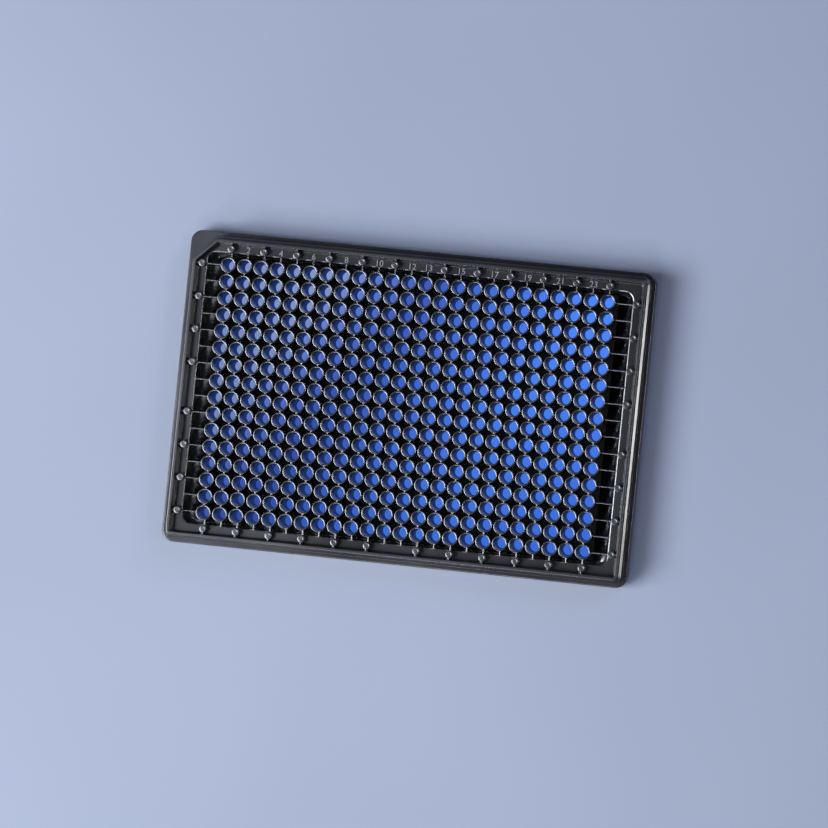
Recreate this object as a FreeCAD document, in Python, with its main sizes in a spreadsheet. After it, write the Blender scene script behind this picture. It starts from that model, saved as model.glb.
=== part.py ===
import math
import os

import FreeCAD
import Part
import Sketcher

# A 384-well microplate: a black moulded plate body with round chimney wells, and the clear
# film bonded under its deck. Millimetres, +Z up, origin at the middle of the base.
# Column 1 is at -X, row A at +Y, so well A1 is at the top left when seen from above.

SIZES = {
    # footprint, flange and outer wall
    "footprint_length": 127.76,
    "footprint_width": 85.48,
    "flange_tall": 6.1,
    "flange_width": 1.3,
    "flange_corner": 3.18,
    "flange_edge": 0.4,
    "wall_thick": 1.2,
    "wall_corner": 2.2,
    "corner_cut": 6.6,
    # levels above the base, and the steps of the frame's edge
    "well_top": 14.35,
    "rim_drop": 0.76,
    "rim_width": 0.87,
    "shoulder_drop": 1.7,
    "shoulder_width": 0.8,
    "shoulder_edge": 0.3,
    # tray inside the rim, its ledge, and the moat round the wells
    "tray_depth": 3.7,
    "tray_draft": 7.0,
    "ledge_width": 2.75,
    "ledge_thick": 1.2,
    "moat_corner": 2.4,
    # deck under the wells, and the film under the deck
    "deck_level": 2.85,
    "deck_thick": 1.2,
    "film_thick": 0.19,
    "film_inset": 0.5,
    # well grid
    "columns": 24,
    "rows": 16,
    "pitch": 4.5,
    "chimney_diameter": 4.16,
    "bore_top_diameter": 3.36,
    "bore_base_diameter": 3.06,
    # webs between the chimneys of a column, and ribs across the moat
    "web_thick": 0.45,
    "web_drop": 0.45,
    "rib_thick": 0.4,
    # ejector bosses on the ledge
    "boss_diameter": 2.08,
    "boss_tall": 2.3,
    "tail_thick": 0.5,
    # hollow cells under the ledge
    "cell_pitch": 9.0,
    "cell_wall": 1.2,
    "cells_long": 12,
    "cells_short": 7,
}

# How close an edge lies to a level or an outline to count as on it.
EDGE_REACH = 1e-4

# Sizes that follow from the ones above, as expressions on the sheet.
HALF_X = "(Sizes.footprint_length / 2)"
HALF_Y = "(Sizes.footprint_width / 2)"
WALL_X = f"({HALF_X} - Sizes.flange_width)"
WALL_Y = f"({HALF_Y} - Sizes.flange_width)"
RIM_X = f"({WALL_X} - Sizes.shoulder_width)"
RIM_Y = f"({WALL_Y} - Sizes.shoulder_width)"
TRAY_X = f"({RIM_X} - Sizes.rim_width)"
TRAY_Y = f"({RIM_Y} - Sizes.rim_width)"
MOAT_X = f"({TRAY_X} - Sizes.ledge_width)"
MOAT_Y = f"({TRAY_Y} - Sizes.ledge_width)"
HULL_X = f"({MOAT_X} + Sizes.wall_thick)"
HULL_Y = f"({MOAT_Y} + Sizes.wall_thick)"

RIM_TOP = "(Sizes.well_top - Sizes.rim_drop)"
SHOULDER = f"({RIM_TOP} - Sizes.shoulder_drop)"
LEDGE = f"({RIM_TOP} - Sizes.tray_depth)"
DECK_TOP = "(Sizes.deck_level + Sizes.deck_thick)"

RIM_CORNER = "(Sizes.wall_corner - Sizes.shoulder_width)"
TRAY_CORNER = f"({RIM_CORNER} - Sizes.rim_width)"
SKIRT_CORNER = "(Sizes.flange_corner - Sizes.wall_thick)"
HULL_CORNER = "(Sizes.moat_corner + Sizes.wall_thick)"
FILM_CORNER = f"({HULL_CORNER} - Sizes.film_inset)"
# A 45 degree cut loses this much of its leg for each millimetre that the outline moves in.
CUT_SHARE = "(2 - sqrt(2))"
RIM_CUT = f"(Sizes.corner_cut - {CUT_SHARE} * Sizes.shoulder_width)"
TRAY_CUT = f"({RIM_CUT} - {CUT_SHARE} * Sizes.rim_width)"

FIRST_X = "(Sizes.pitch * (Sizes.columns - 1) / 2)"
FIRST_Y = "(Sizes.pitch * (Sizes.rows - 1) / 2)"
# The draft narrows the ledge's visible floor, and the bosses stand in the middle of it.
DRAFT_STEP = "(Sizes.tray_depth * tan(Sizes.tray_draft * 1 deg))"
BOSS_INSET = f"((Sizes.ledge_width - {DRAFT_STEP}) / 2)"
BOSS_X = f"({MOAT_X} + {BOSS_INSET})"
BOSS_Y = f"({MOAT_Y} + {BOSS_INSET})"


def fill_sheet(doc):
    """Writes every driving size to the sheet, one named cell each."""
    sheet = doc.addObject("Spreadsheet::Sheet", "Sizes")
    for row, (alias, value) in enumerate(SIZES.items(), start=1):
        sheet.set(f"A{row}", alias)
        sheet.set(f"B{row}", str(value))
        sheet.setAlias(f"B{row}", alias)
    doc.recompute()


def origin_feature(body, role):
    """The body's own origin plane or axis with this role."""
    return next(f for f in body.Origin.OriginFeatures if f.Role == role)


def new_sketch(body, name, level):
    """A sketch on the body's XY plane, raised to a level of the plate."""
    sketch = body.newObject("Sketcher::SketchObject", name)
    sketch.AttachmentSupport = (origin_feature(body, "XY_Plane"), [""])
    sketch.MapMode = "FlatFace"
    sketch.setExpression(".AttachmentOffset.Base.z", level)
    return sketch


def bind(sketch, index, name, expression):
    """Names a constraint and ties it to the sheet."""
    sketch.renameConstraint(index, name)
    sketch.setExpression(f"Constraints.{name}", expression)


def pin(sketch, axis, geometry, point, expression, name):
    """Holds one point at a signed distance from the origin along X or Y."""
    value = float(sketch.evalExpression(expression))
    kind = "Distance" + axis
    if value >= 0:
        made = sketch.addConstraint(Sketcher.Constraint(kind, -1, 1, geometry, point, value))
        bind(sketch, made, name, expression)
    else:
        made = sketch.addConstraint(Sketcher.Constraint(kind, geometry, point, -1, 1, -value))
        bind(sketch, made, name, f"-({expression})")


def draw_outline(sketch, half_x, half_y, radius, cut=None, tag="outer"):
    """One closed loop: a rounded rectangle, with a 45 degree cut at corner A1 where asked."""
    hx, hy, r = (float(sketch.evalExpression(e)) for e in (half_x, half_y, radius))
    c = float(sketch.evalExpression(cut)) if cut else r
    up = FreeCAD.Vector(0, 0, 1)

    def line(x0, y0, x1, y1):
        return Part.LineSegment(FreeCAD.Vector(x0, y0, 0), FreeCAD.Vector(x1, y1, 0))

    def arc(x, y, quarter):
        turn = quarter * math.pi / 2
        circle = Part.Circle(FreeCAD.Vector(x, y, 0), up, r)
        return Part.ArcOfCircle(circle, turn, turn + math.pi / 2)

    corner = line(-hx + c, hy, -hx, hy - c) if cut else arc(-hx + r, hy - r, 1)
    right, corner_a, top, corner_b, left, corner_c, base, corner_d = sketch.addGeometry([
        line(hx, -hy + r, hx, hy - r), arc(hx - r, hy - r, 0),
        line(hx - r, hy, -hx + c, hy), corner,
        line(-hx, hy - c, -hx, -hy + r), arc(-hx + r, -hy + r, 2),
        line(-hx + r, -hy, hx - r, -hy), arc(hx - r, -hy + r, 3)], False)

    loop = [right, corner_a, top, corner_b, left, corner_c, base, corner_d]
    for here, after in zip(loop, loop[1:] + loop[:1]):
        joint = "Coincident" if cut and corner_b in (here, after) else "Tangent"
        sketch.addConstraint(Sketcher.Constraint(joint, here, 2, after, 1))
    for upright in (right, left):
        sketch.addConstraint(Sketcher.Constraint("Vertical", upright))
    for level in (top, base):
        sketch.addConstraint(Sketcher.Constraint("Horizontal", level))
    for other in [corner_c, corner_d] + ([] if cut else [corner_b]):
        sketch.addConstraint(Sketcher.Constraint("Equal", corner_a, other))
    made = sketch.addConstraint(Sketcher.Constraint("Radius", corner_a, r))
    bind(sketch, made, f"{tag}_radius", radius)
    pin(sketch, "X", right, 1, half_x, f"{tag}_right")
    pin(sketch, "X", left, 1, f"-{half_x}", f"{tag}_left")
    pin(sketch, "Y", top, 1, half_y, f"{tag}_top")
    pin(sketch, "Y", base, 1, f"-{half_y}", f"{tag}_base")
    if cut:
        for axis in "XY":
            made = sketch.addConstraint(
                Sketcher.Constraint("Distance" + axis, corner_b, 2, corner_b, 1, c))
            bind(sketch, made, f"{tag}_cut_{axis.lower()}", cut)


def draw_box(sketch, x_low, x_high, y_low, y_high):
    """One rectangle from four signed distances."""
    x0, x1, y0, y1 = (float(sketch.evalExpression(e)) for e in (x_low, x_high, y_low, y_high))
    corners = [FreeCAD.Vector(x, y, 0) for x, y in ((x0, y0), (x1, y0), (x1, y1), (x0, y1))]
    lines = sketch.addGeometry(
        [Part.LineSegment(a, b) for a, b in zip(corners, corners[1:] + corners[:1])], False)
    for here, after in zip(lines, lines[1:] + lines[:1]):
        sketch.addConstraint(Sketcher.Constraint("Coincident", here, 2, after, 1))
    for number, side in enumerate(lines):
        kind = "Vertical" if number % 2 else "Horizontal"
        sketch.addConstraint(Sketcher.Constraint(kind, side))
    pin(sketch, "X", lines[0], 1, x_low, "x_low")
    pin(sketch, "X", lines[1], 1, x_high, "x_high")
    pin(sketch, "Y", lines[0], 1, y_low, "y_low")
    pin(sketch, "Y", lines[2], 1, y_high, "y_high")


def extrude(body, kind, sketch, name, length, upwards, draft=None):
    """A Pad or a Pocket that runs from its sketch up or down, with its draft if any."""
    before = body.Shape.Volume if body.Tip else 0.0
    feature = body.newObject(f"PartDesign::{kind}", name)
    feature.Profile = sketch
    feature.setExpression("Length", length)
    feature.Reversed = upwards if kind == "Pocket" else not upwards
    if draft:
        feature.setExpression("TaperAngle", draft)
    sketch.Visibility = False
    body.Tip = feature
    body.Document.recompute()
    change = feature.Shape.Volume - before
    if (change <= 0) if kind == "Pad" else (change >= 0):
        raise RuntimeError(f"{name} changes the volume by {change:.3f} mm3, the wrong way")
    return feature


def repeat(body, name, originals, rows=(), mirrors=()):
    """Copies features along axes, given as (axis, count, step), and over planes."""
    multi = body.newObject("PartDesign::MultiTransform", name)
    multi.Originals = originals
    steps = []
    for axis, count, step in rows:
        row = body.newObject("PartDesign::LinearPattern", f"{name}_{axis[0].lower()}_row")
        row.Direction = (origin_feature(body, axis), [""])
        row.setExpression("Occurrences", count)
        row.setExpression("Length", f"{step} * ({count} - 1)")
        steps.append(row)
    for plane in mirrors:
        mirror = body.newObject("PartDesign::Mirrored", f"{name}_{plane[:2].lower()}_mirror")
        mirror.MirrorPlane = (origin_feature(body, plane), [""])
        steps.append(mirror)
    multi.Transformations = steps
    body.Tip = multi
    body.Document.recompute()
    return multi


def round_edges(body, name, level, half_x, half_y, radius):
    """Rounds the upper outer edge of one step of the frame."""
    base = body.Tip
    z, hx, hy = (float(base.evalExpression(e)) for e in (level, half_x, half_y))

    def on_outline(edge):
        box = edge.BoundBox
        flat = max(abs(box.ZMin - z), abs(box.ZMax - z)) < EDGE_REACH
        reach_x = abs(max(abs(box.XMin), abs(box.XMax)) - hx) < EDGE_REACH
        reach_y = abs(max(abs(box.YMin), abs(box.YMax)) - hy) < EDGE_REACH
        return flat and (reach_x or reach_y)

    names = [f"Edge{i}" for i, edge in enumerate(base.Shape.Edges, start=1) if on_outline(edge)]
    fillet = body.newObject("PartDesign::Fillet", name)
    fillet.Base = (base, names)
    fillet.setExpression("Radius", radius)
    body.Tip = fillet
    body.Document.recompute()


def add_frame(body):
    """Flange, outer wall and rim, stacked and stepping inwards, with corner A1 cut off."""
    flange = new_sketch(body, "flange_outline", "0")
    draw_outline(flange, HALF_X, HALF_Y, "Sizes.flange_corner")
    extrude(body, "Pad", flange, "flange", "Sizes.flange_tall", True)
    round_edges(body, "flange_edge_round", "Sizes.flange_tall", HALF_X, HALF_Y,
                "Sizes.flange_edge")

    wall = new_sketch(body, "wall_outline", "0")
    draw_outline(wall, WALL_X, WALL_Y, "Sizes.wall_corner", "Sizes.corner_cut")
    extrude(body, "Pad", wall, "outer_wall", SHOULDER, True)
    round_edges(body, "shoulder_edge_round", SHOULDER, WALL_X, WALL_Y, "Sizes.shoulder_edge")

    rim = new_sketch(body, "rim_outline", SHOULDER)
    draw_outline(rim, RIM_X, RIM_Y, RIM_CORNER, RIM_CUT)
    extrude(body, "Pad", rim, "rim", "Sizes.shoulder_drop", True)


def open_top(body):
    """The drafted tray inside the rim, then the moat that the wells stand in."""
    tray = new_sketch(body, "tray_outline", RIM_TOP)
    draw_outline(tray, TRAY_X, TRAY_Y, TRAY_CORNER, TRAY_CUT)
    extrude(body, "Pocket", tray, "tray", "Sizes.tray_depth", False, "-Sizes.tray_draft")

    moat = new_sketch(body, "moat_outline", LEDGE)
    draw_outline(moat, MOAT_X, MOAT_Y, "Sizes.moat_corner")
    extrude(body, "Pocket", moat, "moat", f"{LEDGE} - {DECK_TOP}", False)


def hollow_underside(body):
    """The film recess under the deck, the skirt behind the flange, and the ledge's cells."""
    recess = new_sketch(body, "recess_outline", "0")
    draw_outline(recess, f"({HALF_X} - Sizes.wall_thick)", f"({HALF_Y} - Sizes.wall_thick)",
                 SKIRT_CORNER)
    extrude(body, "Pocket", recess, "film_recess", "Sizes.deck_level", True)

    skirt = new_sketch(body, "skirt_outline", "0")
    draw_outline(skirt, f"({HALF_X} - Sizes.wall_thick)", f"({HALF_Y} - Sizes.wall_thick)",
                 SKIRT_CORNER)
    draw_outline(skirt, HULL_X, HULL_Y, HULL_CORNER, tag="inner")
    extrude(body, "Pocket", skirt, "skirt", "Sizes.flange_tall - Sizes.wall_thick", True)

    cell = "(Sizes.cell_pitch - Sizes.cell_wall)"
    depth = f"{LEDGE} - Sizes.ledge_thick"
    start_x = "(-Sizes.cell_pitch * Sizes.cells_long / 2 + Sizes.cell_wall / 2)"
    long_cell = new_sketch(body, "long_cell_outline", "0")
    draw_box(long_cell, start_x, f"{start_x} + {cell}", HULL_Y, f"{WALL_Y} - Sizes.wall_thick")
    long_pocket = extrude(body, "Pocket", long_cell, "long_cell", depth, True)
    repeat(body, "long_cells", [long_pocket],
           [("X_Axis", "Sizes.cells_long", "Sizes.cell_pitch")], ["XZ_Plane"])

    start_y = "(-Sizes.cell_pitch * Sizes.cells_short / 2 + Sizes.cell_wall / 2)"
    short_cell = new_sketch(body, "short_cell_outline", "0")
    draw_box(short_cell, HULL_X, f"{WALL_X} - Sizes.wall_thick", start_y, f"{start_y} + {cell}")
    short_pocket = extrude(body, "Pocket", short_cell, "short_cell", depth, True)
    repeat(body, "short_cells", [short_pocket],
           [("Y_Axis", "Sizes.cells_short", "Sizes.cell_pitch")], ["YZ_Plane"])


def value(doc, expression):
    """The number that an expression on the sheet gives."""
    return float(doc.Sizes.evalExpression(expression))


def place(item, x, y, z):
    """Ties an object's place to the sheet."""
    for axis, expression in zip("xyz", (x, y, z)):
        item.setExpression(f".Placement.Base.{axis}", expression)


def round_bar(doc, name, x, y, z, tall, base_diameter, top_diameter=None):
    """An upright cylinder, or a cone where the top has its own diameter."""
    kind = "Cone" if top_diameter else "Cylinder"
    bar = doc.addObject(f"Part::{kind}", name)
    bar.setExpression("Radius1" if top_diameter else "Radius", f"{base_diameter} / 2")
    if top_diameter:
        bar.setExpression("Radius2", f"{top_diameter} / 2")
    bar.setExpression("Height", tall)
    place(bar, x, y, z)
    return bar


def block(doc, name, x_span, y_span, z_span):
    """A box between three pairs of levels."""
    box = doc.addObject("Part::Box", name)
    for side, (low, high) in zip(("Length", "Width", "Height"), (x_span, y_span, z_span)):
        box.setExpression(side, f"{high} - ({low})")
    place(box, x_span[0], y_span[0], z_span[0])
    return box


def repeat_grid(doc, name, source, *runs):
    """Copies of one shape, moved along each run of (count, step in X, step in Y)."""
    doc.recompute()
    copies = [source.Shape]
    for count, step_x, step_y in runs:
        step = FreeCAD.Vector(value(doc, step_x), value(doc, step_y), 0)
        copies = [shape.translated(step * number)
                  for number in range(round(value(doc, count))) for shape in copies]
    grid = doc.addObject("Part::Feature", name)
    grid.Shape = Part.makeCompound(copies)
    return grid


def make_bosses(doc):
    """Ejector bosses on the ledge at every second well from each corner, each with a tail."""
    span = (LEDGE, f"({LEDGE} + Sizes.boss_tall)")
    half_tail = "Sizes.tail_thick / 2"
    tail_end_x = f"({TRAY_X} + Sizes.rim_width / 2)"
    tail_end_y = f"({TRAY_Y} + Sizes.rim_width / 2)"
    # From a boss at the low corner: every second well, then the other half of the side.
    along_x = [("Sizes.columns / 4", "Sizes.pitch * 2", "0"),
               ("2", "Sizes.pitch * (Sizes.columns / 2 + 1)", "0")]
    along_y = [("Sizes.rows / 4", "0", "Sizes.pitch * 2"),
               ("2", "0", "Sizes.pitch * (Sizes.rows / 2 + 1)")]

    long_boss = round_bar(doc, "long_side_boss", f"-{FIRST_X}", f"-{BOSS_Y}", LEDGE,
                          "Sizes.boss_tall", "Sizes.boss_diameter")
    long_tail = block(doc, "long_side_tail",
                      (f"-{FIRST_X} - {half_tail}", f"-{FIRST_X} + {half_tail}"),
                      (f"-{tail_end_y}", f"-{BOSS_Y}"), span)
    short_boss = round_bar(doc, "short_side_boss", f"-{BOSS_X}", f"-{FIRST_Y}", LEDGE,
                           "Sizes.boss_tall", "Sizes.boss_diameter")
    short_tail = block(doc, "short_side_tail", (f"-{tail_end_x}", f"-{BOSS_X}"),
                       (f"-{FIRST_Y} - {half_tail}", f"-{FIRST_Y} + {half_tail}"), span)
    return [
        repeat_grid(doc, "long_side_bosses", long_boss, *along_x, ("2", "0", f"2 * {BOSS_Y}")),
        repeat_grid(doc, "long_side_tails", long_tail, *along_x,
                    ("2", "0", f"{BOSS_Y} + {tail_end_y}")),
        repeat_grid(doc, "short_side_bosses", short_boss, *along_y,
                    ("2", f"2 * {BOSS_X}", "0")),
        repeat_grid(doc, "short_side_tails", short_tail, *along_y,
                    ("2", f"{BOSS_X} + {tail_end_x}", "0")),
    ]


def make_row_ribs(doc):
    """Thin ribs across the moat from the short sides to the first and last well of each row."""
    end_x = f"({MOAT_X} + Sizes.wall_thick / 2)"
    half_rib = "Sizes.rib_thick / 2"
    rib = block(doc, "row_rib", (f"-{end_x}", f"-{FIRST_X}"),
                (f"-{FIRST_Y} - {half_rib}", f"-{FIRST_Y} + {half_rib}"), (DECK_TOP, LEDGE))
    return repeat_grid(doc, "row_ribs", rib, ("Sizes.rows", "0", "Sizes.pitch"),
                       ("2", f"{FIRST_X} + {end_x}", "0"))


def make_well_columns(doc):
    """Every column of chimneys, tied by a tall web and by a lower rib that spans the moat."""
    def thin_wall(name, thick, half_length, top):
        return block(doc, name, (f"-{FIRST_X} - {thick} / 2", f"-{FIRST_X} + {thick} / 2"),
                     (f"-{half_length}", half_length), (DECK_TOP, top))

    chimney = round_bar(doc, "chimney", f"-{FIRST_X}", f"-{FIRST_Y}", DECK_TOP,
                        f"Sizes.well_top - {DECK_TOP}", "Sizes.chimney_diameter")
    chimneys = repeat_grid(doc, "chimneys", chimney, ("Sizes.rows", "0", "Sizes.pitch"))
    web = thin_wall("web", "Sizes.web_thick", FIRST_Y, "Sizes.well_top - Sizes.web_drop")
    rib = thin_wall("column_rib", "Sizes.rib_thick", f"({MOAT_Y} + Sizes.wall_thick / 2)", LEDGE)
    column = doc.addObject("Part::MultiFuse", "well_column")
    column.Shapes = [chimneys, web, rib]
    return repeat_grid(doc, "well_columns", column, ("Sizes.columns", "Sizes.pitch", "0"))


def make_bores(doc):
    """The tapered wells themselves, which go right through the deck."""
    bore = round_bar(doc, "bore", f"-{FIRST_X}", f"-{FIRST_Y}", "Sizes.deck_level",
                     "Sizes.well_top - Sizes.deck_level",
                     "Sizes.bore_base_diameter", "Sizes.bore_top_diameter")
    return repeat_grid(doc, "bores", bore, ("Sizes.columns", "Sizes.pitch", "0"),
                       ("Sizes.rows", "0", "Sizes.pitch"))


def make_plate_body(doc):
    """The black moulding, in one piece: the frame, what stands in it, and the bores."""
    frame = doc.addObject("PartDesign::Body", "frame")
    add_frame(frame)
    open_top(frame)
    hollow_underside(frame)
    solid = doc.addObject("Part::MultiFuse", "frame_with_wells")
    solid.Shapes = [frame, make_well_columns(doc), make_row_ribs(doc)] + make_bosses(doc)
    plate = doc.addObject("Part::Cut", "plate_body")
    plate.Label = "plate_body"
    plate.Base = solid
    plate.Tool = make_bores(doc)
    plate.Refine = True
    doc.recompute()
    return plate


def make_clear_film(doc):
    """The clear film bonded to the deck's underside, which closes every well."""
    body = doc.addObject("PartDesign::Body", "clear_film")
    body.Label = "clear_film"
    outline = new_sketch(body, "film_outline", "Sizes.deck_level - Sizes.film_thick")
    draw_outline(outline, f"({HULL_X} - Sizes.film_inset)", f"({HULL_Y} - Sizes.film_inset)",
                 FILM_CORNER)
    extrude(body, "Pad", outline, "film", "Sizes.film_thick", True)
    return body


def check_document(doc, bodies):
    """Stops on any failed object and on any piece that isn't one sound solid."""
    for item in doc.Objects:
        if "Invalid" in item.State or "Error" in item.State:
            raise RuntimeError(f"{item.Name} failed: {item.State}")
    for body in bodies:
        shape = body.Shape
        if shape.isNull() or not shape.isValid() or len(shape.Solids) != 1:
            raise RuntimeError(f"{body.Label} isn't one sound solid")
        print(f"{body.Label}: {len(shape.Faces)} faces, {shape.Volume:.1f} mm3")


def main():
    doc = FreeCAD.newDocument("microplate")
    fill_sheet(doc)
    bodies = [make_plate_body(doc), make_clear_film(doc)]
    doc.recompute()
    check_document(doc, bodies)
    os.makedirs("parts", exist_ok=True)
    for body in bodies:
        body.Shape.exportStep(f"parts/{body.Label}.step")


main()
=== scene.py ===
# %% [markdown]
# # A 384-well microplate in black polystyrene
# The real object is one black injection moulding, a tray full of small round wells, with a clear
# film bonded under it that closes every well. The construction model gives both pieces at
# their real size. This notebook dresses them: it rebuilds the moulding with rounded lips and edges,
# gives both pieces their finish, and lights them the way a small glossy part is lit in a studio.

# %% Load the construction model
import math

import bmesh
import bpy
import numpy as np
from mathutils import Matrix, Vector


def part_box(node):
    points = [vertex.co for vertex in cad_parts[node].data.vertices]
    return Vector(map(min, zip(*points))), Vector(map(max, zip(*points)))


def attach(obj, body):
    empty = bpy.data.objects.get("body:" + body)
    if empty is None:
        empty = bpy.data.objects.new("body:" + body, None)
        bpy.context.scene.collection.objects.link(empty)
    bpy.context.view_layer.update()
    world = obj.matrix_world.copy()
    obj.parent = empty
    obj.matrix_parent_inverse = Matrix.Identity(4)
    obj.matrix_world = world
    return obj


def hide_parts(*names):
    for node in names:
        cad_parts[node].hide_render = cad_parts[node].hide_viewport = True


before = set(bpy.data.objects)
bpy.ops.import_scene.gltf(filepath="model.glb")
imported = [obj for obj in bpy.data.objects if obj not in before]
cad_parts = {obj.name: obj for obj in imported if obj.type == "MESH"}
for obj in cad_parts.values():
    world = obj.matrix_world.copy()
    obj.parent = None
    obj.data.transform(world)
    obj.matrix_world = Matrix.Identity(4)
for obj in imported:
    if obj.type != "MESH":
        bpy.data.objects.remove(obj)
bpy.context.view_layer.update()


body_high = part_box("plate_body")[1]

# %% [markdown]
# ## Sizes of the moulding
# All sizes below are millimetres, as a mould maker writes them, and one constant turns them into
# metres. The outer size and the top come from the construction model, and the rest steps inwards
# from there: flange, wall, shoulder, rim, tray, ledge, moat. Writing each step as an inset keeps
# the steps true to each other when one of them changes.

# %% Name the sizes
MM = 0.001

HALF_X = body_high.x / MM
HALF_Y = body_high.y / MM
WELL_TOP = body_high.z / MM
DECK_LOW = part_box("clear_film")[1].z / MM

SHOULDER_WIDE = 0.8
RIM_WIDE = 0.87
LEDGE_WIDE = 2.75
LEDGE_DROP = 3.7
DECK_THICK = 1.2
WALL_THICK = 1.2

FLANGE_TOP = 6.1
RIM_TOP = WELL_TOP - 0.76
SHOULDER = RIM_TOP - 1.7
LEDGE = RIM_TOP - LEDGE_DROP
DECK_TOP = DECK_LOW + DECK_THICK

WALL_INSET = 1.3
RIM_INSET = WALL_INSET + SHOULDER_WIDE
TRAY_INSET = RIM_INSET + RIM_WIDE
TRAY_DRAFT = LEDGE_DROP * math.tan(math.radians(7.0))
MOAT_INSET = TRAY_INSET + LEDGE_WIDE
CELL_CEILING = LEDGE - WALL_THICK
SKIRT_CEILING = FLANGE_TOP - WALL_THICK

FLANGE_CORNER = 3.18
WALL_CORNER = 2.2
MOAT_CORNER = 2.4
CORNER_CUT = 6.6
CUT_SHARE = 2 - math.sqrt(2)

PITCH = 4.5
COLUMNS = 24
ROWS = 16
FIRST_X = PITCH * (COLUMNS - 1) / 2
FIRST_Y = PITCH * (ROWS - 1) / 2
FIELD_X = PITCH * COLUMNS / 2
FIELD_Y = PITCH * ROWS / 2

CHIMNEY_RADIUS = 2.08
BORE_TOP_RADIUS = 1.68
BORE_BASE_RADIUS = 1.53
print("levels in mm: rim", round(RIM_TOP, 2), "ledge", round(LEDGE, 2), "deck", round(DECK_TOP, 2))

# %% [markdown]
# ## Outlines that can be lofted
# Every level of the frame is a rounded rectangle, and from the shoulder up the corner beside well
# A1 is cut off at 45 degrees. If every outline has equally many points, in the same order, a loft
# can join any two of them with plain four-sided faces. So a cut corner gets as many points as a
# round one: half of them on a small round at each end of the cut.

# %% Draw one outline
CORNER_STEPS = 11
CUT_ROUND = 0.8


def arc(x, y, radius, start, end, count):
    """Points on an arc, in degrees, both ends included."""
    turns = np.radians(np.linspace(start, end, count))
    return [(x + radius * math.cos(t), y + radius * math.sin(t)) for t in turns]


def outline(inset, radius, z, cut=0.0):
    """A closed loop at one level, counter-clockwise from the +X side."""
    hx, hy = HALF_X - inset, HALF_Y - inset
    r, n = max(radius, 0.0), CORNER_STEPS + 1
    loop = arc(hx - r, hy - r, r, 0, 90, n)
    if cut:
        back = CUT_ROUND * math.tan(math.radians(22.5))
        loop += arc(-hx + cut + back, hy - CUT_ROUND, CUT_ROUND, 90, 135, n // 2)
        loop += arc(-hx + CUT_ROUND, hy - cut - back, CUT_ROUND, 135, 180, n // 2)
    else:
        loop += arc(-hx + r, hy - r, r, 90, 180, n)
    loop += arc(-hx + r, -hy + r, r, 180, 270, n)
    loop += arc(hx - r, -hy + r, r, 270, 360, n)
    return [(x, y, z) for x, y in loop]


print("an outline has", len(outline(0.0, FLANGE_CORNER, 0.0)), "points")

# %% [markdown]
# ## From loops to a mesh
# A loft walks from loop to loop and lays one face between each pair of neighbouring points. The
# same function serves the frame and a single well, because a well is a loft through circles. It
# can name loops whose edges stay sharp, and give an edge loop a weight that a bevel reads later.

# %% Loft
def loft(name, loops, ring=False, sharp=(), weights=None):
    """A mesh in metres through loops of equally many points."""
    count = len(loops[0])
    points = np.array(loops, float).reshape(-1, 3) * MM
    steps = [(i, i + 1) for i in range(len(loops) - 1)] + ([(len(loops) - 1, 0)] if ring else [])
    faces = []
    for a, b in steps:
        for i in range(count):
            j = (i + 1) % count
            faces.append((a * count + i, a * count + j, b * count + j, b * count + i))
    mesh = bpy.data.meshes.new(name)
    mesh.from_pydata(points.tolist(), [], faces)
    mesh.shade_smooth()
    bm = bmesh.new()
    bm.from_mesh(mesh)
    weight = bm.edges.layers.float.new("bevel_weight_edge") if weights else None
    for edge in bm.edges:
        ring_a, ring_b = (vert.index // count for vert in edge.verts)
        if ring_a == ring_b:
            edge.smooth = ring_a not in sharp
            if weights:
                edge[weight] = weights[ring_a]
    bm.to_mesh(mesh)
    bm.free()
    return mesh


# %% [markdown]
# ## Objects and their meshes
# Every finished piece is a plain mesh in an object that sits at the origin, so that its material's
# pattern stays put when the piece is exported. Four small helpers see to it: one links a mesh to
# the scene, one edits it, one merges doubled points, and one keeps the result of its modifiers.

# %% Put a mesh into the scene
def add_object(name, mesh, material=None):
    """Links a mesh to the scene as an object at the origin."""
    item = bpy.data.objects.new(name, mesh)
    bpy.context.scene.collection.objects.link(item)
    if material:
        mesh.materials.clear()
        mesh.materials.append(material)
    return item


def edit_mesh(mesh, work):
    """Runs one function on a mesh's bmesh and writes the result back."""
    bm = bmesh.new()
    bm.from_mesh(mesh)
    work(bm)
    bm.to_mesh(mesh)
    bm.free()


def weld(mesh):
    """Merges points that coincide, and turns every face outwards."""
    def work(bm):
        bmesh.ops.remove_doubles(bm, verts=bm.verts, dist=0.001 * MM)
        bmesh.ops.recalc_face_normals(bm, faces=bm.faces)

    edit_mesh(mesh, work)


def settle(item):
    """Turns an object with modifiers into a plain mesh."""
    graph = bpy.context.evaluated_depsgraph_get()
    mesh = bpy.data.meshes.new_from_object(item.evaluated_get(graph), depsgraph=graph)
    item.modifiers.clear()
    item.data = mesh
    return item


# %% [markdown]
# ## Colours and nodes
# A colour is written as an sRGB hex value, and a shader works in linear light, so one function
# converts. A second one adds a node with its settings and links, which keeps each material short
# enough to read from top to bottom.

# %% Colour and node helpers
def linear(code):
    """A six-figure sRGB hex colour as linear red, green, blue and one."""
    channels = [int(code[i:i + 2], 16) / 255 for i in (0, 2, 4)]
    return [c / 12.92 if c <= 0.04045 else ((c + 0.055) / 1.055) ** 2.4 for c in channels] + [1]


def add_node(tree, kind, inputs=None, links=None, **settings):
    """One node with its settings, its plain input values and its incoming links."""
    made = tree.nodes.new(kind)
    for key, setting in settings.items():
        setattr(made, key, setting)
    for key, number in (inputs or {}).items():
        made.inputs[key].default_value = number
    for key, source in (links or {}).items():
        tree.links.new(source, made.inputs[key])
    return made


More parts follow.
